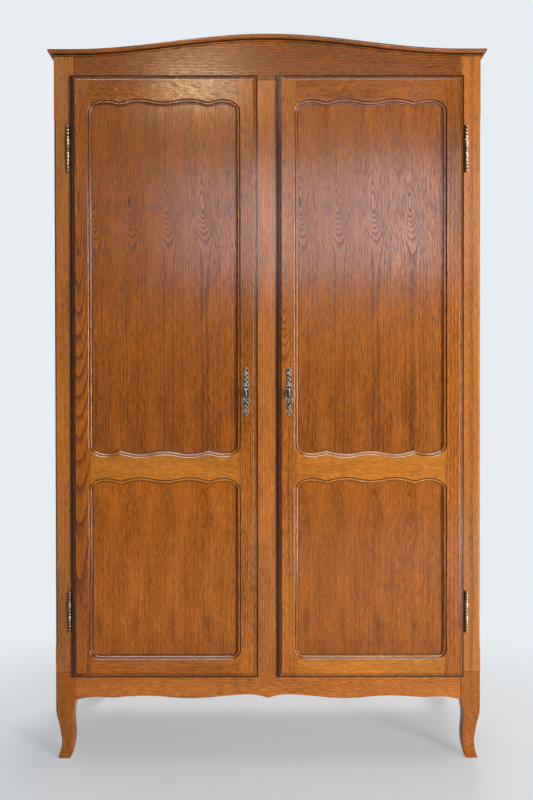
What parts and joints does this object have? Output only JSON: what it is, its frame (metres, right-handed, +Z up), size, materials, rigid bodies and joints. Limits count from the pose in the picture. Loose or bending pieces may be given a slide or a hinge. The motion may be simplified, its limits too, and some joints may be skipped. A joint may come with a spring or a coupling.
{
  "type": "two-door wardrobe",
  "caption": "Provincial-style oak wardrobe with an arched cornice, lipped doors with scalloped panels, lift-off hinges, keyed locks, a scalloped apron and cabriole front legs.",
  "frame": {"origin": "on the floor, under the middle of the whole object's box", "axes": "+Z up, +X to the right seen from the front, doors facing -Y"},
  "size_m": [1.1986, 0.6402, 1.9905],
  "materials": {
    "lacquered_oak": "honey-brown satin lacquer",
    "oak_veneer": "slip-matched veneer, satin lacquer",
    "inside_oak": "plain sealed oak",
    "aged_brass": "aged, dark in the recesses",
    "antique_pewter": "antique cast, rubbed bright on the high parts",
    "lock_steel": "plain pressed steel"
  },
  "bodies": {
    "carcass": {"frieze_board": "lacquered_oak", "left_frieze_block": "lacquered_oak", "right_frieze_block": "lacquered_oak", "front_cornice": "lacquered_oak", "left_cornice": "lacquered_oak", "right_cornice": "lacquered_oak", "left_crown_rail": "lacquered_oak", "right_crown_rail": "lacquered_oak", "rear_crown_rail": "lacquered_oak", "roof_board": "inside_oak", "left_front_post": "lacquered_oak", "right_front_post": "lacquered_oak", "left_rear_post": "lacquered_oak", "right_rear_post": "lacquered_oak", "left_side_panel": "oak_veneer", "right_side_panel": "oak_veneer", "back_panel": "inside_oak", "centre_stile": "lacquered_oak", "left_front_leg": "lacquered_oak", "right_front_leg": "lacquered_oak", "apron": "lacquered_oak", "left_base_rail": "lacquered_oak", "right_base_rail": "lacquered_oak", "rear_base_rail": "lacquered_oak", "floor_board": "inside_oak", "hat_shelf": "inside_oak", "left_shelf_bearer": "inside_oak", "right_shelf_bearer": "inside_oak", "hanging_rail": "aged_brass", "left_upper_hinge_post_half": "aged_brass", "left_lower_hinge_post_half": "aged_brass", "right_upper_hinge_post_half": "aged_brass", "right_lower_hinge_post_half": "aged_brass"},
    "left_door": {"left_door_hinge_stile": "lacquered_oak", "left_door_meeting_stile": "lacquered_oak", "left_door_top_rail": "lacquered_oak", "left_door_middle_rail": "lacquered_oak", "left_door_bottom_rail": "lacquered_oak", "left_door_upper_panel": "oak_veneer", "left_door_lower_panel": "oak_veneer", "left_escutcheon": "antique_pewter", "left_lock_case": "lock_steel", "left_upper_hinge_door_half": "aged_brass", "left_lower_hinge_door_half": "aged_brass"},
    "left_key": {"left_key": "antique_pewter"},
    "left_bolt": {"left_lock_bolt": "lock_steel"},
    "right_door": {"right_door_hinge_stile": "lacquered_oak", "right_door_meeting_stile": "lacquered_oak", "right_door_top_rail": "lacquered_oak", "right_door_middle_rail": "lacquered_oak", "right_door_bottom_rail": "lacquered_oak", "right_door_upper_panel": "oak_veneer", "right_door_lower_panel": "oak_veneer", "right_escutcheon": "antique_pewter", "right_lock_case": "lock_steel", "right_upper_hinge_door_half": "aged_brass", "right_lower_hinge_door_half": "aged_brass"},
    "right_key": {"right_key": "antique_pewter"},
    "right_bolt": {"right_lock_bolt": "lock_steel"}
  },
  "joints": [
    {"name": "left_door_swing", "type": "hinge", "parent": "carcass", "child": "left_door", "pos_m": [-0.546, -0.27535, 1.051], "axis": [0, 0, -1], "range_deg": [0, 170]},
    {"name": "left_key_turn", "type": "hinge", "parent": "left_door", "child": "left_key", "pos_m": [-0.0587, -0.28015, 1.008], "axis": [0, 1, 0], "range_deg": [0, 360]},
    {"name": "left_bolt_slide", "type": "slide", "parent": "left_door", "child": "left_bolt", "axis": [1, 0, 0], "range_m": [0, 0.012]},
    {"name": "right_door_swing", "type": "hinge", "parent": "carcass", "child": "right_door", "pos_m": [0.546, -0.27535, 1.051], "axis": [0, 0, 1], "range_deg": [0, 170]},
    {"name": "right_key_turn", "type": "hinge", "parent": "right_door", "child": "right_key", "pos_m": [0.0587, -0.28015, 1.008], "axis": [0, -1, 0], "range_deg": [0, 360]},
    {"name": "right_bolt_slide", "type": "slide", "parent": "right_door", "child": "right_bolt", "axis": [-1, 0, 0], "range_m": [0, 0.012]}
  ],
  "couplings": [
    {"joint": "left_bolt_slide", "follows": "left_key_turn", "m_per_rad": 0.0019099},
    {"joint": "right_bolt_slide", "follows": "right_key_turn", "m_per_rad": 0.0019099}
  ]
}
